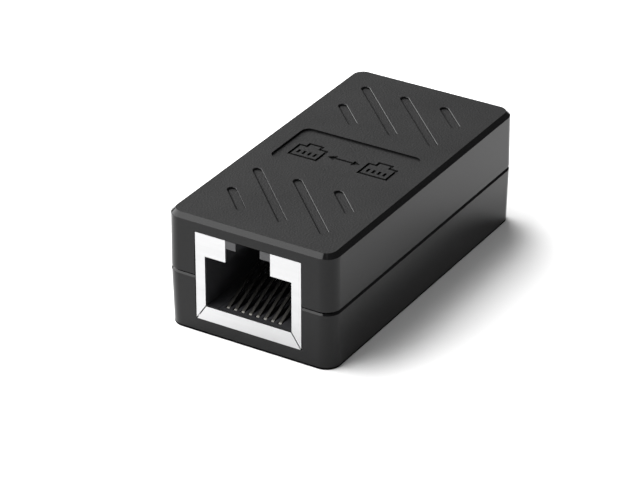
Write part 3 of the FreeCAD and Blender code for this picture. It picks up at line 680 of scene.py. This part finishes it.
def groove_cutters():
    """Cutters for the slanted slots: short, long, long, short at each end of the roof."""
    cutters = []
    for group in (-GROOVE_GROUP_Y, GROOVE_GROUP_Y):
        for step in ROW_OF_FOUR:
            offset = step * GROOVE_PITCH
            left = max(-GROOVE_FIELD_X, offset - GROOVE_FIELD_Y)
            right = min(GROOVE_FIELD_X, offset + GROOVE_FIELD_Y)
            start = (left, group + offset - left)
            end = (right, group + offset - right)
            cutters.append(groove_cutter(start, end))
    return merge(cutters)


def sign_block(low, high):
    """A cutter for the sign between two corners on the panel, given in plan."""
    (left, near), (right, far) = low, high
    high_corner = (right, far + SIGN_Y, ROOF_Z + BEYOND)
    return add_block("sign", (left, near + SIGN_Y, SIGN_FLOOR), high_corner)


def socket_block(middle, grow):
    """A plain socket seen from the front: a box with a step for the latch on top."""
    x, step = SOCKET_X + grow, SOCKET_STEP_X + grow
    tall, shoulder = SOCKET_Y + grow, SOCKET_SHOULDER + grow
    body = sign_block((middle - x, -tall), (middle + x, shoulder))
    return fuse(body, sign_block((middle - step, 0), (middle + step, tall)))


def arrow_block():
    """A straight arrow that points both ways."""
    arrow = sign_block((-ARROW_X, -SIGN_LINE / 2), (ARROW_X, SIGN_LINE / 2))
    for side in (-1, 1):
        centre, turn = (side * ARROW_X, SIGN_Y), -side * math.pi / 2
        fuse(arrow, add_rod("head", centre, ARROW_HEAD, SIGN_FLOOR, ROOF_Z + BEYOND, 3, turn))
    return arrow


def sign_cutters():
    """A generic sign: two sockets with four pins each, joined by an arrow both ways."""
    parts = [arrow_block()]
    for side in (-1, 1):
        middle = side * SOCKET_PLACE
        outline = socket_block(middle, SIGN_LINE / 2)
        parts.append(cut(outline, socket_block(middle, -SIGN_LINE / 2)))
        for step in ROW_OF_FOUR:
            x = middle + step * PIN_MARK_PITCH
            left, right = x - SIGN_LINE / 2, x + SIGN_LINE / 2
            parts.append(sign_block((left, PIN_MARK_LOW), (right, PIN_MARK_HIGH)))
    return merge(parts)


def is_in_decoration(edge):
    """True for the edges of the sunken panel, the sign and the slots."""
    return all(
        corner.co.z > CEILING + SIGN_DEPTH
        and abs(corner.co.x) < PANEL_X + GROOVE_WIDTH
        and abs(corner.co.y) < GROOVE_GROUP_Y + GROOVE_FIELD_Y + GROOVE_WIDTH
        for corner in edge.verts
    )


def ribbed_posts(rib_low):
    """Four posts down from the ceiling, and ribs that join them to the side walls."""
    places, radius = post_places()
    root = CEILING + OVERLAP
    posts = merge([add_rod("post", place, radius, FRAME_LOW, root) for place in places])
    ribs = []
    for x, y in places:
        side = math.copysign(1, x)
        near, far = sorted((x, side * (INSIDE_X + SINK)))
        low = (near, y - POST_RIB / 2, rib_low)
        ribs.append(add_block("rib", low, (far, y + POST_RIB / 2, root)))
    return posts, merge(ribs)


def post_bores():
    """Cutters for the posts' bores, which take the lower half's pins."""
    places, radius = post_places()
    bore_radius = radius - POST_SKIN
    low = FRAME_LOW - BEYOND
    top = FRAME_LOW + PIN_REACH + 2 * PIN_CLEARANCE
    return merge([add_rod("bore", place, bore_radius, low, top) for place in places])


def sunken_panel():
    """The cutter for the panel in the roof."""
    top = ROOF_Z + BEYOND
    return round_block("panel", PANEL_X, PANEL_Y, PANEL_FLOOR, top, PANEL_RADIUS)


def model_upper_shell():
    """Top half with its sunken panel, slots, engraved sign, windows and hollow posts."""
    shell = shell_outside("upper_shell_moulding", ROOF_Z, UPPER_DRAFT, TOP_CHAMFER, 1)
    below = PARTING_Z - BEYOND
    rebate_top = PARTING_Z + LIP_HEIGHT + LIP_CLEARANCE
    lip_room = LIP_THICKNESS + LIP_CLEARANCE
    cut(
        shell,
        round_block("hollow", INSIDE_X, INSIDE_Y, below, CEILING, INSIDE_RADIUS),
        round_block(
            "rebate",
            INSIDE_X + lip_room,
            INSIDE_Y + lip_room,
            below,
            rebate_top,
            INSIDE_RADIUS + lip_room,
        ),
        window_block(below, CEILING),
        shadow_gap_ring(),
    )
    fuse(shell, *ribbed_posts(rebate_top + LIP_CLEARANCE))
    cut(shell, post_bores(), sunken_panel(), groove_cutters(), sign_cutters())
    return to_metres(soften(shell, SHELL_EDGE, is_in_decoration))


def model_lower_shell():
    """Bottom half with its locating lip, windows, board rests and pins."""
    shell = shell_outside("lower_shell_moulding", 0, LOWER_DRAFT, BOTTOM_ROUND, BOTTOM_STEPS)
    lip_top = PARTING_Z + LIP_HEIGHT
    above = lip_top + BEYOND
    lip = round_block(
        "lip",
        INSIDE_X + LIP_THICKNESS,
        INSIDE_Y + LIP_THICKNESS,
        PARTING_Z - OVERLAP,
        lip_top,
        INSIDE_RADIUS + LIP_THICKNESS,
    )
    fuse(shell, lip)
    cut(
        shell,
        round_block("hollow", INSIDE_X, INSIDE_Y, FLOOR_TOP, above, INSIDE_RADIUS),
        window_block(FRAME_LOW - WINDOW_CLEARANCE, above),
    )
    places, radius = post_places()
    sunk = FLOOR_TOP - SINK
    rests = merge([add_rod("rest", place, radius, sunk, BOARD_LOW.z) for place in places])
    pin_radius = radius - POST_SKIN - PIN_CLEARANCE
    pin_top = FRAME_LOW + PIN_REACH
    pins = merge([add_rod("pin", place, pin_radius, sunk, pin_top) for place in places])
    fuse(shell, rests, pins)
    return to_metres(soften(shell, SHELL_EDGE))


# Jacks

def is_shield_opening(face):
    """True for the faces of the shield's box that its sheet leaves open."""
    middle = face.calc_center_median()
    in_plug = abs(middle.x) < CAVITY_X and CAVITY_LOW < middle.z < CAVITY_HIGH
    in_keyway = abs(middle.x) < KEYWAY_X and middle.z > CAVITY_HIGH
    if face.normal.y < -FACING:
        return in_plug or in_keyway
    if face.normal.z < -FACING:
        return middle.y > FRONT + BOTTOM_RETURN
    if face.normal.z > FACING:
        return abs(middle.x) < KEYWAY_X and middle.y < FRONT + TOP_NOTCH
    return False


def folded_box():
    """The shield's box with its openings, before its sheet gets a thickness."""
    box = add_block(
        "front_jack_shield_sheet",
        (-FRAME_X, FRONT, FRAME_LOW),
        (FRAME_X, SHIELD_BACK, FRAME_HIGH),
    )
    folds = [((x, 0, 0), (1, 0, 0)) for x in (-CAVITY_X, -KEYWAY_X, KEYWAY_X, CAVITY_X)]
    folds += [((0, 0, z), (0, 0, 1)) for z in (CAVITY_LOW, CAVITY_HIGH)]
    folds += [((0, FRONT + depth, 0), (0, 1, 0)) for depth in (BOTTOM_RETURN, TOP_NOTCH)]
    start_editing(box)
    for point, normal in folds:
        bpy.ops.mesh.select_all(action="SELECT")
        bpy.ops.mesh.bisect(plane_co=point, plane_no=normal)
    choose(box, "FACE", is_shield_opening)
    bpy.ops.mesh.delete(type="FACE")
    stop_editing()
    return box


def solder_legs():
    """Two legs down into the board from each side of the shield."""
    legs = []
    for side in (-1, 1):
        inner, outer = sorted((side * (FRAME_X - SHEET), side * FRAME_X))
        for depth in LEG_DEPTHS:
            y = FRONT + depth
            low = (inner, y - LEG_WIDTH / 2, SHIELD_LOW.z)
            high = (outer, y + LEG_WIDTH / 2, FRAME_LOW + BEYOND)
            legs.append(add_block("leg", low, high))
    return merge(legs)


def barb_windows():
    """The shape of both barb windows, right through the shield."""
    y = FRONT + BARB_DEPTH
    reach = BARB_WIDTH / 2 + FIT_GAP
    return add_block(
        "barb windows",
        (-FRAME_X - BEYOND, y - reach, BARB_LOW - FIT_GAP),
        (FRAME_X + BEYOND, y + reach, BARB_LOW + BARB_RISE + FIT_GAP),
    )


def mitre_cutters():
    """Thin cutters for the slanted joints at both ends of the bottom strip."""
    mitres = []
    length = math.hypot(SIDE_STRIP, BOTTOM_STRIP) * MITRE_REACH
    middle_x, middle_z = FRAME_X - SIDE_STRIP / 2, FRAME_LOW + BOTTOM_STRIP / 2
    for side in (-1, 1):
        mitre = add_block(
            "mitre",
            (-MITRE_GAP / 2, -SHEET, -length / 2),
            (MITRE_GAP / 2, SHEET, length / 2),
        )
        mitre.rotation_euler = (0, -side * math.atan2(SIDE_STRIP, BOTTOM_STRIP), 0)
        mitre.location = (side * middle_x, FRONT, middle_z)
        mitres.append(settle(mitre))
    return merge(mitres)


def model_jack_shield():
    """Folded sheet box: face with two tabs, mitred bottom strip, windows and solder legs."""
    shield = folded_box()
    sheet = shield.modifiers.new("sheet", "SOLIDIFY")
    sheet.thickness = SHEET
    sheet.offset = -1
    sheet.use_even_offset = True
    apply_modifier(shield, sheet)
    fuse(shield, solder_legs())
    cut(shield, barb_windows(), mitre_cutters())
    return to_metres(soften(shield, METAL_EDGE))


def return_step(half_width):
    """Room for the edge of the shield that is folded under the jack."""
    return add_block(
        "return step",
        (-half_width, FRONT - BEYOND, FRAME_LOW - BEYOND),
        (half_width, FRONT + BOTTOM_RETURN + FIT_GAP, FRAME_LOW + SHEET + FIT_GAP),
    )


def plug_room():
    """Cutters for the plug's cavity, its keyway, and the slot and recess of its latch."""
    open_y, back = FRONT - BEYOND, FRONT + CAVITY_DEPTH
    latch_back, latch_top = FRONT + LATCH_RECESS, FRAME_HIGH + BEYOND
    latch_low = KEYWAY_HIGH - OVERLAP
    return [
        add_block("cavity", (-CAVITY_X, open_y, CAVITY_LOW), (CAVITY_X, back, CAVITY_HIGH)),
        add_block(
            "keyway",
            (-KEYWAY_X, open_y, CAVITY_HIGH - OVERLAP),
            (KEYWAY_X, back, KEYWAY_HIGH),
        ),
        add_block(
            "latch slot",
            (-LATCH_SLOT_X, open_y, latch_low),
            (LATCH_SLOT_X, latch_back, latch_top),
        ),
        add_block(
            "latch recess",
            (-KEYWAY_X, FRONT + LATCH_WALL, latch_low),
            (KEYWAY_X, latch_back, latch_top),
        ),
    ]


def housing_hollows(half_width, top):
    """Cutters for the bay of the carrier, the shield's folded edge and the rear core."""
    carrier_x = CARRIER_HIGH.x + FIT_GAP
    core_x = half_width - CORE_WALL
    return [
        add_block(
            "carrier bay",
            (-carrier_x, FRONT - BEYOND, FRAME_LOW - BEYOND),
            (carrier_x, CARRIER_HIGH.y + FIT_GAP, CAVITY_LOW),
        ),
        return_step(FRAME_X),
        add_block(
            "rear core",
            (-core_x, FRONT + CAVITY_DEPTH + CORE_WALL, CAVITY_LOW + CORE_WALL),
            (core_x, HOUSING_BACK + BEYOND, top - CORE_WALL),
        ),
    ]


def housing_barbs(half_width):
    """A barb at each side, which snaps into the shield's window."""
    y = FRONT + BARB_DEPTH
    barbs = []
    for side in (-1, 1):
        inner, outer = sorted((side * (half_width - SINK), side * (half_width + BARB_PROUD)))
        low = (inner, y - BARB_WIDTH / 2, BARB_LOW)
        barbs.append(add_block("barb", low, (outer, y + BARB_WIDTH / 2, BARB_LOW + BARB_RISE)))
    return merge(barbs)


def board_pegs():
    """Two round pegs that seat the housing on the board."""
    pegs = []
    for side in (-1, 1):
        centre = (side * PEG_X, FRONT + PEG_DEPTH)
        pegs.append(add_rod("peg", centre, PEG_RADIUS, BOARD_LOW.z, FRAME_LOW + SINK))
    return merge(pegs)


def model_jack_housing():
    """Moulded block with the plug cavity, keyway, ledges, latch recess, core and pegs."""
    x = FRAME_X - SHEET - FIT_GAP
    top = FRAME_HIGH - SHEET - FIT_GAP
    housing = add_block(
        "front_jack_housing_moulding",
        (-x, FRONT + SHEET + FIT_GAP, FRAME_LOW),
        (x, HOUSING_BACK, top),
    )
    nose_x = KEYWAY_X - FIT_GAP
    nose = add_block(
        "nose",
        (-nose_x, FRONT + FIT_GAP, CAVITY_HIGH),
        (nose_x, FRONT + TOP_NOTCH - FIT_GAP, FRAME_HIGH - FIT_GAP),
    )
    fuse(housing, nose)
    cut(housing, *plug_room(), *housing_hollows(x, top))
    fuse(housing, housing_barbs(x), board_pegs())
    return to_metres(soften(housing, PLASTIC_EDGE))


def contact_x(number):
    """The place of a contact across the jack, counted from 1 at its left."""
    return (number - 1 - (CONTACTS - 1) / 2) * CONTACT_PITCH


def wire_slots(top, comb_back):
    """Cutters for every wire: its channel, its slot in the comb and the way of its tail."""
    front = FRONT + BEND_DEPTH - CONTACT_THICKNESS / 2 - CHANNEL_GAP
    back = FRONT + TAIL_DEPTHS[1] + TAIL_BEND
    low = RUN_Z - CONTACT_THICKNESS / 2 - CHANNEL_GAP
    tail_front = FRONT + TAIL_DEPTHS[0] - TAIL_BEND
    channels, comb_slots, tail_slots = [], [], []
    for number in range(1, CONTACTS + 1):
        left, right = contact_x(number) - CHANNEL_X, contact_x(number) + CHANNEL_X
        channels.append(add_block("channel", (left, front, low), (right, back, top + HAIR)))
        comb_slots.append(
            add_block(
                "comb slot",
                (left, front, top - CHANNEL_OVERLAP),
                (right, comb_back - COMB_WEB, CARRIER_HIGH.z - COMB_ROOF),
            )
        )
        tail_slots.append(
            add_block(
                "tail slot",
                (left, tail_front, FRAME_LOW - BEYOND),
                (right, back, low + CHANNEL_OVERLAP),
            )
        )
    return merge(channels), merge(comb_slots), merge(tail_slots)


def model_contact_carrier():
    """Insert under the plug cavity with eight channels, tail slots and a rear comb."""
    top = CAVITY_LOW - FIT_GAP
    x = CARRIER_HIGH.x
    comb_back = FRONT + CAVITY_DEPTH - FIT_GAP
    carrier = add_block(
        "front_contact_carrier_insert",
        (-x, CARRIER_LOW.y, FRAME_LOW),
        (x, CARRIER_HIGH.y, top),
    )
    comb_low = (-x, FRONT + COMB_DEPTH, top - OVERLAP)
    fuse(carrier, add_block("comb", comb_low, (x, comb_back, CARRIER_HIGH.z)))
    cut(carrier, return_step(x + BEYOND), *wire_slots(top, comb_back))
    return to_metres(soften(carrier, PLASTIC_EDGE))


def model_contact(number):
    """Spring wire drawn up from its tail, bent forward, round the front and up the slope."""
    x = contact_x(number)
    tail_y = FRONT + TAIL_DEPTHS[(number - 1) % 2]
    tail_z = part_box(f"front_contact_{number}")[0].z / MM
    bend_y = FRONT + BEND_DEPTH + BEND_RADIUS
    deselect_all()
    bpy.ops.mesh.primitive_plane_add(size=1, location=(x, tail_y, tail_z))
    wire = bpy.context.object
    wire.name = f"front_contact_{number}_wire"
    wire.scale = (CONTACT_WIDTH, CONTACT_THICKNESS, 1)
    settle(wire)
    start_editing(wire)
    bpy.ops.mesh.select_all(action="SELECT")
    draw_out((0, 0, RUN_Z - TAIL_BEND - tail_z))
    bpy.ops.mesh.spin(
        steps=TAIL_STEPS,
        angle=math.pi / 2,
        center=(x, tail_y - TAIL_BEND, RUN_Z - TAIL_BEND),
        axis=(-1, 0, 0),
    )
    draw_out((0, bend_y - (tail_y - TAIL_BEND), 0))
    bpy.ops.mesh.spin(
        steps=BEND_STEPS,
        angle=-(math.pi - ARM_SLOPE),
        center=(x, bend_y, RUN_Z + BEND_RADIUS),
        axis=(-1, 0, 0),
    )
    arm_start = bend_y - BEND_RADIUS * math.sin(ARM_SLOPE)
    run = FRONT + ARM_REACH - arm_start
    draw_out((0, run, run * math.tan(ARM_SLOPE)))
    bpy.ops.mesh.select_all(action="SELECT")
    bpy.ops.mesh.remove_doubles(threshold=WELD_GAP)
    bpy.ops.mesh.normals_make_consistent(inside=False)
    stop_editing()
    return to_metres(soften(wire, WIRE_EDGE))


# The whole coupler

shell_finish = shell_plastic()
jack_finish = jack_plastic()
shield_finish = shield_metal()
contact_finish = contact_metal()
board_finish = board_laminate()

hand_over(model_upper_shell(), "upper_shell", shell_finish)
hand_over(model_lower_shell(), "lower_shell", shell_finish)

jack_pieces = [
    (model_jack_shield(), "jack_shield", "sheet", "shield_metal", shield_finish),
    (model_jack_housing(), "jack_housing", "moulding", "jack_plastic", jack_finish),
    (model_contact_carrier(), "contact_carrier", "insert", "jack_plastic", jack_finish),
]
for number in range(1, CONTACTS + 1):
    wire = model_contact(number)
    jack_pieces.append((wire, f"contact_{number}", "wire", "contact_metal", contact_finish))
for piece, node, form, slot, finish in jack_pieces:
    twin = turned_copy(piece, f"rear_{node}_{form}")
    hand_over(piece, f"front_{node}", finish)
    hand_over(twin, f"rear_{node}", finish)

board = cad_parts["circuit_board"]
board.data.materials.clear()
board.data.materials.append(board_finish)


# Studio

def white_floor():
    """A wide white floor that takes the soft shadow."""
    deselect_all()
    bpy.ops.mesh.primitive_plane_add(size=STUDIO_WIDTH, location=(0, 0, 0))
    floor = bpy.context.object
    floor.name = "studio_floor"
    material, _, _ = new_material(
        "white floor",
        Base_Color=FLOOR_TINT,
        Roughness=0.9,
        Specular_IOR_Level=0.0,
    )
    floor.data.materials.append(material)


def add_softbox(name, direction, distance, width, height, power):
    """A rectangular area light that looks at the object from a direction."""
    light = bpy.data.lights.new(name, "AREA")
    light.shape = "RECTANGLE"
    light.size = width
    light.size_y = height
    light.energy = power
    lamp = bpy.data.objects.new(name, light)
    bpy.context.collection.objects.link(lamp)
    away = Vector(direction).normalized()
    lamp.location = away * distance
    lamp.rotation_euler = (-away).to_track_quat("-Z", "Y").to_euler()


def studio_world(strength):
    """Even white light from all round."""
    world = bpy.data.worlds.new("studio")
    world.use_nodes = True
    background = world.node_tree.nodes["Background"]
    background.inputs["Color"].default_value = (1, 1, 1, 1)
    background.inputs["Strength"].default_value = strength
    bpy.context.scene.world = world


def photo_camera():
    """The camera at the photograph's angle, distance and lens."""
    data = bpy.data.cameras.new("photo camera")
    data.sensor_width = SENSOR_WIDTH
    data.lens = CAMERA_LENS
    data.clip_start = 0.01
    camera = bpy.data.objects.new("photo camera", data)
    bpy.context.collection.objects.link(camera)
    back = Vector(
        (
            math.sin(CAMERA_AZIMUTH) * math.cos(CAMERA_ELEVATION),
            -math.cos(CAMERA_AZIMUTH) * math.cos(CAMERA_ELEVATION),
            math.sin(CAMERA_ELEVATION),
        )
    )
    camera.location = CAMERA_TARGET + back * CAMERA_DISTANCE
    camera.rotation_euler = (-back).to_track_quat("-Z", "Y").to_euler()
    bpy.context.scene.camera = camera


white_floor()
studio_world(strength=0.14)
add_softbox(
    "key softbox",
    direction=(-0.69, -0.13, 0.72),
    distance=0.55,
    width=1.2,
    height=0.7,
    power=16.3,
)
add_softbox(
    "top softbox",
    direction=(0.0, -0.1, 1.0),
    distance=0.8,
    width=0.6,
    height=0.6,
    power=0.8,
)
add_softbox(
    "front fill",
    direction=(0.3, -0.9, 0.4),
    distance=0.7,
    width=0.3,
    height=0.3,
    power=0.6,
)
photo_camera()
bpy.context.scene.view_settings.view_transform = "Standard"
